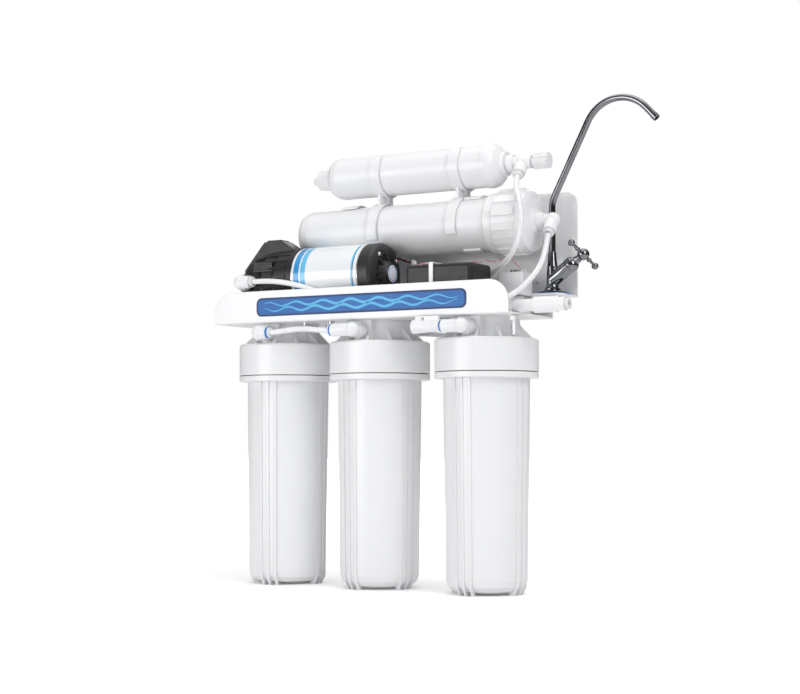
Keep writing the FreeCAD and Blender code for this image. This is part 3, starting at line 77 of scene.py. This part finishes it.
class Finish:
    """A material whose colour, roughness and bump come from its own noise, in the object's metres."""

    def __init__(self, name, metallic=0.0, coat=0.0, coat_roughness=0.1, specular=0.5):
        self.material = bpy.data.materials.new(name)
        self.material.use_nodes = True
        self.tree = self.material.node_tree
        self.shader = self.tree.nodes["Principled BSDF"]
        self.shader.inputs["Metallic"].default_value = metallic
        self.shader.inputs["Coat Weight"].default_value = coat
        self.shader.inputs["Coat Roughness"].default_value = coat_roughness
        self.shader.inputs["Specular IOR Level"].default_value = specular
        self.place = self.add("ShaderNodeTexCoord").outputs["Object"]

    def add(self, kind, **settings):
        made = self.tree.nodes.new(kind)
        for word, value in settings.items():
            setattr(made, word, value)
        return made

    def join(self, source, target):
        self.tree.links.new(source, target)

    def noise(self, scale, detail=3.0, stretch=(1, 1, 1)):
        """Noise of that many grains a metre, squeezed along each axis by stretch."""
        mapping = self.add("ShaderNodeMapping")
        mapping.inputs["Scale"].default_value = stretch
        self.join(self.place, mapping.inputs["Vector"])
        grain = self.add("ShaderNodeTexNoise")
        grain.inputs["Scale"].default_value = scale
        grain.inputs["Detail"].default_value = detail
        self.join(mapping.outputs["Vector"], grain.inputs["Vector"])
        return grain.outputs["Fac"]

    def spread(self, value, low, high):
        """A noise value brought from its usual range, 0.3 to 0.7, to low to high."""
        wide = self.add("ShaderNodeMapRange")
        wide.inputs["From Min"].default_value = 0.3
        wide.inputs["From Max"].default_value = 0.7
        wide.inputs["To Min"].default_value = low
        wide.inputs["To Max"].default_value = high
        self.join(value, wide.inputs["Value"])
        return wide.outputs["Result"]

    def mixed(self, share, one, other):
        """One colour turning into the other as share goes from 0 to 1. Either may be a socket."""
        mix = self.add("ShaderNodeMix", data_type="RGBA")
        self.join(share, mix.inputs[0])
        for socket, colour in ((mix.inputs[6], one), (mix.inputs[7], other)):
            if isinstance(colour, bpy.types.NodeSocket):
                self.join(colour, socket)
            else:
                socket.default_value = (*colour, 1)
        return mix.outputs[2]

    def colours(self, one, other, scale, stretch=(1, 1, 1)):
        self.join(self.mixed(self.spread(self.noise(scale, 4, stretch), 0, 1), one, other),
                  self.shader.inputs["Base Color"])

    def roughness(self, low, high, scale, stretch=(1, 1, 1)):
        self.join(self.spread(self.noise(scale, 3, stretch), low, high), self.shader.inputs["Roughness"])

    def relief(self, scale, height, edge=0.0006, stretch=(1, 1, 1)):
        """Fine bumps of that height in metres, over edges softened to that radius."""
        soft = self.add("ShaderNodeBevel", samples=4)
        soft.inputs["Radius"].default_value = edge
        bump = self.add("ShaderNodeBump")
        bump.inputs["Strength"].default_value = 0.6
        bump.inputs["Distance"].default_value = height
        self.join(self.noise(scale, 4, stretch), bump.inputs["Height"])
        self.join(soft.outputs["Normal"], bump.inputs["Normal"])
        self.join(bump.outputs["Normal"], self.shader.inputs["Normal"])


def moulded(name, one, other, rough, scale, height, coat=0.0, edge=0.0006):
    """Moulded or coated surface: slight colour drift, uneven gloss and a fine grain."""
    finish = Finish(name, coat=coat)
    finish.colours(one, other, 14)
    finish.roughness(rough - 0.03, rough + 0.04, 90)
    finish.relief(scale, height, edge)
    return finish


def metal(name, one, other, rough, grain_scale, stretch, height, edge=0.0004):
    """Bare or plated metal, with a grain that stretch can draw out along one axis."""
    finish = Finish(name, metallic=1.0)
    finish.colours(one, other, 45, stretch)
    finish.roughness(rough * 0.7, rough * 1.5, grain_scale, stretch)
    finish.relief(grain_scale, height, edge, stretch)
    return finish


LABEL_EDGE = 2.7


def banded_label():
    """Glossy film with bands of colour round the motor. Each band starts so many millimetres along it."""
    finish = Finish("label_film", coat=0.5, coat_roughness=0.08)
    along = finish.add("ShaderNodeSeparateXYZ")
    finish.join(finish.place, along.inputs["Vector"])
    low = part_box("pump_label")[0].x
    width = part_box("pump_label")[1].x - low
    share = finish.add("ShaderNodeMapRange")
    share.inputs["From Min"].default_value = low
    share.inputs["From Max"].default_value = low + width
    finish.join(along.outputs["X"], share.inputs["Value"])
    bands = finish.add("ShaderNodeValToRGB")
    ramp = bands.color_ramp
    ramp.interpolation = "CONSTANT"
    white = (0.84, 0.86, 0.88, 1)
    blue = (0.03, 0.28, 0.62, 1)
    sky = (0.12, 0.5, 0.78, 1)
    navy = (0.02, 0.11, 0.32, 1)
    starts = [(0, white), (LABEL_EDGE, blue), (LABEL_EDGE + 7.8, white), (LABEL_EDGE + 9.5, sky),
              (LABEL_EDGE + 16.3, white), (width / MM - 7.7, sky), (width / MM - 5.4, navy),
              (width / MM - 4.5, white)]
    for number, (start, colour) in enumerate(starts):
        stop = ramp.elements[number] if number < 2 else ramp.elements.new(start * MM / width)
        stop.position = start * MM / width
        stop.color = colour
    finish.join(share.outputs["Result"], bands.inputs["Fac"])
    worn = finish.spread(finish.noise(30), 0, 0.06)
    faded = finish.mixed(worn, bands.outputs["Color"], (0.6, 0.62, 0.64))
    finish.join(faded, finish.shader.inputs["Base Color"])
    finish.roughness(0.16, 0.28, 60)
    finish.relief(500, 0.00003)
    return finish


WHITE_TOP = (0.84, 0.843, 0.85)
WHITE_LOW = (0.826, 0.83, 0.837)

finishes = {
    "white_steel": moulded("white_steel", (0.85, 0.853, 0.858), (0.838, 0.841, 0.847), 0.32, 900, 0.00004,
                           coat=0.2, edge=0.0008),
    "white_plastic": moulded("white_plastic", WHITE_TOP, WHITE_LOW, 0.34, 700, 0.00003, coat=0.1),
    "white_tube": moulded("white_tube", (0.85, 0.855, 0.86), (0.81, 0.82, 0.83), 0.26, 500, 0.00002,
                          coat=0.2),
    "blue_plastic": moulded("blue_plastic", (0.015, 0.2, 0.6), (0.012, 0.16, 0.5), 0.25, 500, 0.00002,
                            coat=0.2),
    "black_plastic": moulded("black_plastic", (0.012, 0.012, 0.013), (0.022, 0.022, 0.023), 0.4, 2600,
                             0.00006),
    "black_gloss": moulded("black_gloss", (0.01, 0.01, 0.011), (0.018, 0.018, 0.02), 0.42, 1800, 0.00004,
                           edge=0.0012),
    "dark_rubber": moulded("dark_rubber", (0.018, 0.018, 0.018), (0.032, 0.031, 0.03), 0.65, 1400, 0.00008),
    "lead_red": moulded("lead_red", (0.52, 0.02, 0.02), (0.42, 0.014, 0.016), 0.35, 900, 0.00003),
    "lead_white": moulded("lead_white", (0.8, 0.79, 0.78), (0.72, 0.7, 0.69), 0.35, 900, 0.00003),
    "filter_felt": moulded("filter_felt", (0.76, 0.75, 0.72), (0.62, 0.61, 0.57), 0.9, 1500, 0.0004),
    "pump_steel": metal("pump_steel", (0.5, 0.5, 0.52), (0.42, 0.42, 0.44), 0.3, 260, (0.1, 1, 1), 0.00003),
    "bright_steel": metal("bright_steel", (0.72, 0.72, 0.73), (0.62, 0.62, 0.64), 0.2, 900, (1, 1, 1),
                          0.00002),
    "chrome": metal("chrome", (0.24, 0.245, 0.255), (0.2, 0.205, 0.215), 0.06, 500, (1, 1, 1), 0.000002),
    "motor_iron": metal("motor_iron", (0.3, 0.29, 0.28), (0.2, 0.19, 0.19), 0.45, 600, (1, 1, 1), 0.00005),
    "label_film": banded_label(),
}

SHARP_ANGLE = math.radians(32)
for part in frame["record"]["subparts"]:
    shown = frame["nodes"][part["node"]]
    shown.data.materials.clear()
    shown.data.materials.append(finishes[part["material_slot"]].material)
    shown.data.shade_smooth()
    shown.data.set_sharp_from_angle(angle=SHARP_ANGLE)


# ---------------------------------------------------------------- making pieces

def piece(name, mesh, slot):
    """A new visible piece on the fixed body. Its slot is a material slot's name, or a finish of its own."""
    made = bpy.data.objects.new(name, mesh)
    bpy.context.scene.collection.objects.link(made)
    paint = slot if isinstance(slot, Finish) else finishes[slot]
    mesh.materials.append(paint.material)
    mesh.shade_smooth()
    mesh.set_sharp_from_angle(angle=SHARP_ANGLE)
    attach(made, "root")
    return made


def to_mesh(name, work):
    bmesh.ops.recalc_face_normals(work, faces=work.faces)
    mesh = bpy.data.meshes.new(name)
    work.to_mesh(mesh)
    work.free()
    return mesh


def turned(work, outline, middle, direction, steps=40):
    """Adds a solid made by turning (radius, distance) points round a line.

    A ring's outline ends at the point where it starts.
    """
    facing = direction.to_track_quat("Z", "Y")
    is_ring = outline[0] == outline[-1]
    rows = []
    for radius, distance in outline[:-1] if is_ring else outline:
        if radius < 1e-6:
            rows.append([work.verts.new(middle + facing @ Vector((0, 0, distance)))])
            continue
        row = []
        for step in range(steps):
            angle = 2 * math.pi * step / steps
            across = Vector((radius * math.cos(angle), radius * math.sin(angle), distance))
            row.append(work.verts.new(middle + facing @ across))
        rows.append(row)
    if is_ring:
        rows.append(rows[0])
    for low, high in zip(rows, rows[1:]):
        for step in range(steps):
            ring = [low[step % len(low)], low[(step + 1) % len(low)],
                    high[(step + 1) % len(high)], high[step % len(high)]]
            work.faces.new(list(dict.fromkeys(ring)))
    for row in () if is_ring else (rows[0], rows[-1]):
        if len(row) > 1:
            work.faces.new(row)


def slab(work, outline, front, thickness):
    """Adds a flat piece in the XZ plane: its outline's points, from front back by thickness along +Y."""
    near = [work.verts.new((x, front, z)) for x, z in outline]
    far = [work.verts.new((x, front + thickness, z)) for x, z in outline]
    work.faces.new(near)
    work.faces.new(far[::-1])
    for step in range(len(outline)):
        after = (step + 1) % len(outline)
        work.faces.new([near[step], near[after], far[after], far[step]])


def rounded_band(left, right, low, high, corner, steps=10):
    """Outline of a band with round corners."""
    points = []
    corners = [(right - corner, high - corner, 0), (left + corner, high - corner, 90),
               (left + corner, low + corner, 180), (right - corner, low + corner, 270)]
    for x, z, first in corners:
        for step in range(steps + 1):
            angle = math.radians(first + 90 * step / steps)
            points.append((x + corner * math.cos(angle), z + corner * math.sin(angle)))
    return points


def route_curve(name, points):
    """An order 3 NURBS curve with the route's points as its control points."""
    curve = bpy.data.curves.new(name, "CURVE")
    curve.dimensions = "3D"
    curve.resolution_u = 14
    spline = curve.splines.new("NURBS")
    spline.points.add(len(points) - 1)
    for point, place in zip(spline.points, points):
        point.co = (*place, 1)
    spline.order_u = 3
    spline.use_endpoint_u = True
    return curve


def centre_line(points):
    """Places along the route, read from its NURBS spline while that has no thickness."""
    curve = route_curve("centre_line", points)
    holder = bpy.data.objects.new("centre_line", curve)
    mesh = bpy.data.meshes.new_from_object(holder)
    line = [vertex.co.copy() for vertex in mesh.vertices]
    bpy.data.objects.remove(holder)
    bpy.data.meshes.remove(mesh)
    bpy.data.curves.remove(curve)
    return line


def line_length(line):
    return sum((after - before).length for before, after in zip(line, line[1:]))


def metres(points):
    return [tuple(value * MM for value in point) for point in points]


# ---------------------------------------------------------------- hoses

def hose(name, points, diameter, node, slot):
    """A tube on a NURBS centreline, standing for its CAD node."""
    curve = route_curve(name, points)
    curve.bevel_depth = diameter / 2
    curve.bevel_resolution = 6
    curve.use_fill_caps = True
    curve.materials.append(finishes[slot].material)
    made = bpy.data.objects.new(name, curve)
    bpy.context.scene.collection.objects.link(made)
    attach(made, "root")
    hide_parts(node)
    line_length(centre_line(points))


# Each route is in millimetres, from the fitting that it leaves to the one that it enters.
FEED_HOSE = [(-145.8, -52, 360.2), (-131, -52.6, 360.3), (-112, -53.6, 359), (-92, -53, 355.8),
             (-72, -51.2, 350.5), (-52, -50.6, 343.5), (-26, -51, 334.5), (8, -50.5, 326.5),
             (50, -51.1, 321.8), (92, -50.6, 320.3), (136, -51.1, 320.6), (164, -51, 321.6),
             (184, -47, 325.5), (196, -34, 334), (201, -16, 346.5), (206, -1.5, 360.5),
             (210, 9.5, 378), (210, 18.2, 403.5)]
PERMEATE_HOSE = [(172, 18.2, 472), (174, 9, 460), (185, -7, 446), (193, -15.5, 424), (192, -17.5, 398),
                 (178, -10, 378), (157, 3, 366.8), (136, 15, 358.5), (112, 27.5, 346.5), (80, 37, 336.5),
                 (33, 41.5, 331.5), (-20, 44, 330.5), (-66, 45.5, 333.5), (-90, 48.5, 339), (-104, 52, 348),
                 (-109, 52.2, 359.5), (-109, 49, 371.1)]
PUMP_LEAD = [(8, 20.9, 384.25), (8.5, 26, 387.2), (15, 29.5, 385), (24, 26, 381.5), (34, 18, 380),
             (43, 8.5, 377), (50.5, -1.5, 369.5), (54.5, -8.5, 361.8), (62, -10.6, 360)]
VALVE_LEAD = [(62, -13.4, 360), (54, -13.9, 360.4), (46.5, -10.5, 363.5), (46.5, -3, 371.5), (58, 2, 377),
              (82, 5, 374.4), (108, 8.5, 374.2), (131, 15, 376.5), (151, 22.5, 376.8), (166, 26.5, 374.5),
              (173.6, 25.6, 366.2)]
HOSE_DIAMETER = 6.35 * MM
LEAD_DIAMETER = 2.6 * MM

hose("membrane_feed_tube", metres(FEED_HOSE), HOSE_DIAMETER, "feed_hose", "white_tube")
hose("permeate_tube", metres(PERMEATE_HOSE), HOSE_DIAMETER, "permeate_hose", "white_tube")


# ---------------------------------------------------------------- wires

TWIST_LENGTH = 16 * MM
WIRE_SIDES = 10
# Each block of the connector: how far along the wires it sits, and its size, in millimetres.
CONNECTOR_BLOCKS = [(0, (11, 6.4, 4.4)), (-6.2, (2.4, 5.2, 3.4)), (6.2, (2.4, 5.2, 3.4))]


def frames_along(line):
    """A pair of side directions at each point of a line, carried along without twist."""
    side = Vector((0.3, 0.2, 1)).normalized()
    found = []
    for number, place in enumerate(line):
        ahead = line[min(number + 1, len(line) - 1)] - line[max(number - 1, 0)]
        ahead.normalize()
        side = (side - ahead * side.dot(ahead)).normalized()
        found.append((place, side.copy(), ahead.cross(side)))
    return found


def ring_round(work, middle, side, other, radius, steps):
    """A ring of new corners round a point, in the plane of two side directions."""
    made = []
    for step in range(steps):
        angle = 2 * math.pi * step / steps
        made.append(work.verts.new(middle + (side * math.cos(angle) + other * math.sin(angle)) * radius))
    return made


def skin(work, rings, material_index=0):
    """Closes a row of rings into a tube with flat ends."""
    steps = len(rings[0])
    for low, high in zip(rings, rings[1:]):
        for step in range(steps):
            after = (step + 1) % steps
            face = work.faces.new([low[step], low[after], high[after], high[step]])
            face.material_index = material_index
    for ring in (rings[0][::-1], rings[-1]):
        work.faces.new(ring).material_index = material_index


def strand(work, line, offset, first_angle, twist_length, radius, material_index):
    """One wire of a twisted pair, wound round the line at that offset."""
    covered = 0.0
    before = line[0]
    rings = []
    for place, side, other in frames_along(line):
        covered += (place - before).length
        before = place
        angle = first_angle + 2 * math.pi * covered / twist_length
        middle = place + (side * math.cos(angle) + other * math.sin(angle)) * offset
        rings.append(ring_round(work, middle, side, other, radius, WIRE_SIDES))
    skin(work, rings, material_index)


def connector(name, line, share):
    """A moulded white connector block round the wires, that share of the way along them."""
    at = round(share * (len(line) - 1))
    place, side, other = frames_along(line)[at]
    ahead = side.cross(other)
    turn = Matrix((ahead, side, other)).transposed().to_4x4()
    work = bmesh.new()
    for offset, size in CONNECTOR_BLOCKS:
        scale = Matrix.Diagonal((*(length * MM for length in size), 1))
        shift = Matrix.Translation(place + ahead * offset * MM)
        bmesh.ops.create_cube(work, size=1, matrix=shift @ turn @ scale)
    bmesh.ops.bevel(work, geom=work.edges, offset=0.5 * MM, segments=2, affect="EDGES")
    return piece(name, to_mesh(name, work), "white_plastic")


def twisted_pair(name, points, node, slot, partner, connector_at=None):
    """Two insulated wires twisted together, standing for the CAD node's round lead."""
    line = centre_line(points)
    radius = LEAD_DIAMETER / 4
    work = bmesh.new()
    for material_index, first_angle in enumerate((0, math.pi)):
        strand(work, line, radius, first_angle, TWIST_LENGTH, radius * 0.98, material_index)
    made = piece(name, to_mesh(name, work), slot)
    made.data.materials.append(partner.material)
    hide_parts(node)
    blocks = [] if connector_at is None else [connector(f"{name}_connector", line, connector_at)]


black_wire = moulded("black_wire", (0.012, 0.012, 0.013), (0.02, 0.02, 0.02), 0.35, 900, 0.00003)
pink_wire = moulded("pink_wire", (0.75, 0.3, 0.33), (0.66, 0.24, 0.28), 0.35, 900, 0.00003)
twisted_pair("pump_wires", metres(PUMP_LEAD), "pump_lead", "lead_red", black_wire, connector_at=0.58)
twisted_pair("valve_wires", metres(VALVE_LEAD), "valve_lead", "lead_white", pink_wire)


# ---------------------------------------------------------------- printed band on the bracket's lip

DECAL_LEFT = -137 * MM
DECAL_RIGHT = 146 * MM
DECAL_MIDDLE = 328.5 * MM
DECAL_HALF = 11 * MM
DECAL_BORDER = 2.2 * MM
WAVE_MARGIN = 9 * MM
FILM = 0.12 * MM
lip_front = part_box("bracket")[0].y

navy = moulded("print_navy", (0.008, 0.03, 0.13), (0.012, 0.04, 0.15), 0.45, 800, 0.00001)
mid_blue = moulded("print_blue", (0.012, 0.12, 0.4), (0.015, 0.14, 0.44), 0.45, 800, 0.00001)
sky_blue = moulded("print_sky", (0.09, 0.45, 0.78), (0.11, 0.48, 0.8), 0.45, 800, 0.00001)


def wave(left, right, middle, height, thickness, waves, phase, steps=120):
    """Outline of a wavy stripe that thins out towards both ends."""
    over = []
    under = []
    for step in range(steps + 1):
        share = step / steps
        x = left + (right - left) * share
        z = middle + height * math.sin(2 * math.pi * (waves * share + phase))
        half = thickness / 2 * math.sin(math.pi * share) ** 0.5 + 0.05 * MM
        over.append((x, z + half))
        under.append((x, z - half))
    return over + under[::-1]


def decal(name, outlines, layer, finish):
    """Flat printed shapes on the lip, one film's thickness further out for each layer."""
    work = bmesh.new()
    for outline in outlines:
        slab(work, outline, lip_front - FILM * (layer + 1), FILM)
    piece(name, to_mesh(name, work), finish)


def lip_outline(inset, corner):
    """The printed band's outline, drawn in by inset on every side."""
    return rounded_band(DECAL_LEFT + inset, DECAL_RIGHT - inset, DECAL_MIDDLE - DECAL_HALF + inset,
                        DECAL_MIDDLE + DECAL_HALF - inset, corner)


waves = []
for shift, phase in ((3 * MM, 0), (-3 * MM, 0.28)):
    waves.append(wave(DECAL_LEFT + WAVE_MARGIN, DECAL_RIGHT - WAVE_MARGIN, DECAL_MIDDLE + shift,
                      height=2.3 * MM, thickness=3.2 * MM, waves=7, phase=phase))
decal("lip_band_outline", [lip_outline(0, 7 * MM)], 0, navy)
decal("lip_band", [lip_outline(DECAL_BORDER, 5.4 * MM)], 1, mid_blue)
decal("lip_waves", waves, 2, sky_blue)


# ---------------------------------------------------------------- pump details

cap_low, cap_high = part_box("pump_end_cap")
cap_middle = Vector((cap_high.x, -13 * MM, 364.7 * MM))
SCREW_CIRCLE = 27.5 * MM
SCREW_DEPTH = 7.6 * MM

sticker = moulded("sticker_lilac", (0.86, 0.86, 0.97), (0.8, 0.8, 0.93), 0.3, 600, 0.00001, coat=0.3)
work = bmesh.new()
turned(work, [(0, 0), (10 * MM, 0), (10 * MM, 0.15 * MM), (9.7 * MM, 0.25 * MM), (0, 0.25 * MM)],
       cap_middle, SIDE)
piece("boss_sticker", to_mesh("boss_sticker", work), sticker)

work = bmesh.new()
ring = [(8.4, 0.25), (8.4, 0.34), (7.6, 0.34), (7.6, 0.25)]
turned(work, [(radius * MM, height * MM) for radius, height in ring + ring[:1]], cap_middle, SIDE)
piece("boss_sticker_ring", to_mesh("boss_sticker_ring", work), sky_blue)


def screw_head(work, place, direction, radius, cross=True):
    """A domed screw head, with two raised bars across it where cross is true."""
    dome = [(0, -0.6), (1, -0.6), (1, 0.06), (0.93, 0.28), (0.74, 0.5), (0.42, 0.62), (0.36, 0.3),
            (0, 0.22)]
    turned(work, [(across * radius, up * radius) for across, up in dome], place, direction, 24)
    if not cross:
        return
    facing = direction.to_track_quat("Z", "Y")
    size = Matrix.Diagonal((radius * 1.25, radius * 0.22, radius * 0.1, 1))
    shift = Matrix.Translation(place + direction * radius * 0.6)
    for turn in (0, 90):
        spin = Matrix.Rotation(math.radians(turn), 4, "Z")
        bmesh.ops.create_cube(work, size=1, matrix=shift @ facing.to_matrix().to_4x4() @ spin @ size)


work = bmesh.new()
for turn in (38, 128, 218, 308):
    angle = math.radians(turn)
    out = Vector((0, math.cos(angle), math.sin(angle)))
    screw_head(work, cap_middle - SIDE * SCREW_DEPTH + out * SCREW_CIRCLE, SIDE, 2.6 * MM)
piece("pump_cap_screws", to_mesh("pump_cap_screws", work), "bright_steel")


# ---------------------------------------------------------------- valve spring

WIRE_RADIUS = 0.3 * MM
COILS = 9
STEPS_A_COIL = 20

spring_low, spring_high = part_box("valve_spring")
spring_middle = (spring_low + spring_high) / 2
spring_length = spring_high.z - spring_low.z
coil_radius = (spring_high.x - spring_low.x) / 2 - WIRE_RADIUS
spring_line = []
for step in range(COILS * STEPS_A_COIL + 1):
    angle = 2 * math.pi * step / STEPS_A_COIL
    rise = (spring_length - 2 * WIRE_RADIUS) * step / (COILS * STEPS_A_COIL)
    spring_line.append(Vector((spring_middle.x + coil_radius * math.cos(angle),
                               spring_middle.y + coil_radius * math.sin(angle),
                               spring_low.z + WIRE_RADIUS + rise)))
work = bmesh.new()
skin(work, [ring_round(work, place, side, other, WIRE_RADIUS, WIRE_SIDES)
            for place, side, other in frames_along(spring_line)])
wound_spring = piece("valve_spring_wound", to_mesh("valve_spring_wound", work), "bright_steel")
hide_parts("valve_spring")
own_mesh(wound_spring)


# ---------------------------------------------------------------- faucet gasket, plate rivets

faucet_low, faucet_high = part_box("faucet_plate")
foot = Vector(((faucet_low.x + faucet_high.x) / 2, (faucet_low.y + faucet_high.y) / 2, faucet_low.z))
work = bmesh.new()
gasket = [(19.9, -0.1), (20.9, -0.1), (21.2, 0.35), (20.9, 0.9), (20.2, 0.9)]
turned(work, [(radius * MM, height * MM) for radius, height in gasket + gasket[:1]], foot, UP, 64)
piece("faucet_gasket", to_mesh("faucet_gasket", work), "blue_plastic")

PLATE_FRONT = 70 * MM
RIVET_HEIGHT = 354 * MM
work = bmesh.new()
for along in (171.7, 163.3, -70, 36):
    screw_head(work, Vector((along * MM, PLATE_FRONT, RIVET_HEIGHT)), -BACK, 2.2 * MM, cross=False)
piece("plate_rivets", to_mesh("plate_rivets", work), "bright_steel")


# ---------------------------------------------------------------- floor, lights and camera

def look_at(thing, place, target):
    """Puts a thing at a place, facing the target."""
    thing.location = place
    thing.rotation_euler = (Vector(target) - Vector(place)).to_track_quat("-Z", "Y").to_euler()


def area_light(name, place, target, width, height, power):
    """A rectangular lamp of that size in metres and power in watts."""
    lamp = bpy.data.lights.new(name, "AREA")
    lamp.shape = "RECTANGLE"
    lamp.size = width
    lamp.size_y = height
    lamp.energy = power
    made = bpy.data.objects.new(name, lamp)
    bpy.context.scene.collection.objects.link(made)
    look_at(made, place, target)


FLOOR_GLOW = 0.16
FLOOR_REACH = 8


def build_floor():
    """A pale floor that brightens to white away from the object, for the camera only."""
    finish = Finish("studio_floor", specular=0.2)
    finish.colours((0.93, 0.93, 0.93), (0.92, 0.92, 0.925), 3)
    finish.roughness(0.8, 0.9, 5)
    finish.shader.inputs["Emission Color"].default_value = (1, 1, 1, 1)
    far = finish.add("ShaderNodeVectorMath", operation="LENGTH")
    finish.join(finish.place, far.inputs[0])
    glow = finish.add("ShaderNodeMapRange", interpolation_type="SMOOTHSTEP")
    glow.inputs["From Min"].default_value = 0.3
    glow.inputs["From Max"].default_value = 1.6
    glow.inputs["To Min"].default_value = FLOOR_GLOW
    glow.inputs["To Max"].default_value = 1.0
    finish.join(far.outputs["Value"], glow.inputs["Value"])
    ray = finish.add("ShaderNodeLightPath")
    seen = finish.add("ShaderNodeMath", operation="MULTIPLY")
    finish.join(glow.outputs["Result"], seen.inputs[0])
    finish.join(ray.outputs["Is Camera Ray"], seen.inputs[1])
    finish.join(seen.outputs["Value"], finish.shader.inputs["Emission Strength"])
    mesh = bpy.data.meshes.new("floor")
    corners = [(x * FLOOR_REACH, y * FLOOR_REACH, 0) for x, y in ((-1, -1), (1, -1), (1, 1), (-1, 1))]
    mesh.from_pydata(corners, [], [(0, 1, 2, 3)])
    mesh.materials.append(finish.material)
    floor = bpy.data.objects.new("floor", mesh)
    floor.location.z = cad_low.z
    bpy.context.scene.collection.objects.link(floor)


def build_world():
    """White behind the object. What it reflects is dark low down and light overhead."""
    world = bpy.data.worlds.new("studio")
    bpy.context.scene.world = world
    world.use_nodes = True
    tree = world.node_tree
    tree.nodes.clear()
    out = tree.nodes.new("ShaderNodeOutputWorld")
    room = tree.nodes.new("ShaderNodeBackground")
    plain = tree.nodes.new("ShaderNodeBackground")
    choose = tree.nodes.new("ShaderNodeMixShader")
    ray = tree.nodes.new("ShaderNodeLightPath")
    place = tree.nodes.new("ShaderNodeTexCoord")
    split = tree.nodes.new("ShaderNodeSeparateXYZ")
    height = tree.nodes.new("ShaderNodeValToRGB")
    plain.inputs["Color"].default_value = (1, 1, 1, 1)
    plain.inputs["Strength"].default_value = 1.0
    room.inputs["Strength"].default_value = 0.68
    ramp = height.color_ramp
    ramp.elements[0].position = 0.0
    ramp.elements[0].color = (0.16, 0.16, 0.17, 1)
    ramp.elements[1].position = 1.0
    ramp.elements[1].color = (1, 1, 1, 1)
    middle = ramp.elements.new(0.35)
    middle.color = (0.62, 0.63, 0.65, 1)
    tree.links.new(place.outputs["Generated"], split.inputs["Vector"])
    tree.links.new(split.outputs["Z"], height.inputs["Fac"])
    tree.links.new(height.outputs["Color"], room.inputs["Color"])
    dim = tree.nodes.new("ShaderNodeBackground")
    mirror = tree.nodes.new("ShaderNodeValToRGB")
    reflected = tree.nodes.new("ShaderNodeMixShader")
    dim.inputs["Strength"].default_value = 0.8
    for position, level in ((0.0, 0.1), (0.3, 0.05), (0.42, 0.3), (0.6, 0.16), (0.8, 0.7)):
        stops = mirror.color_ramp.elements
        stop = stops[0] if position == 0.0 else stops[-1] if position == 0.8 else stops.new(position)
        stop.position = position
        stop.color = (level, level, level * 1.04, 1)
    tree.links.new(split.outputs["Z"], mirror.inputs["Fac"])
    tree.links.new(mirror.outputs["Color"], dim.inputs["Color"])
    tree.links.new(ray.outputs["Is Glossy Ray"], reflected.inputs["Fac"])
    tree.links.new(room.outputs["Background"], reflected.inputs[1])
    tree.links.new(dim.outputs["Background"], reflected.inputs[2])
    tree.links.new(ray.outputs["Is Camera Ray"], choose.inputs["Fac"])
    tree.links.new(reflected.outputs["Shader"], choose.inputs[1])
    tree.links.new(plain.outputs["Background"], choose.inputs[2])
    tree.links.new(choose.outputs["Shader"], out.inputs["Surface"])


def build_camera():
    """The camera: low, in front and to the right, looking slightly up."""
    lens = bpy.data.cameras.new("camera")
    lens.lens = 73.0
    lens.sensor_width = 36.0
    camera = bpy.data.objects.new("camera", lens)
    camera.location = (0.98679, -1.62978, 0.17976)
    camera.rotation_euler = (math.radians(93.029), 0, math.radians(30.482))
    bpy.context.scene.collection.objects.link(camera)
    bpy.context.scene.camera = camera


build_floor()
build_world()
middle = (cad_low + cad_high) / 2
area_light("top_light", (0.1, 0.1, 2.2), middle, 1.8, 1.8, 15)
area_light("key_light", (1.9, -0.9, 1.5), middle, 1.0, 1.4, 20)
area_light("back_light", (-0.9, 2.2, 1.3), middle, 1.4, 1.2, 12)
area_light("front_light", (-1.0, -2.1, 0.35), middle, 1.2, 1.2, 20)
build_camera()
bpy.context.scene.view_settings.view_transform = "Standard"
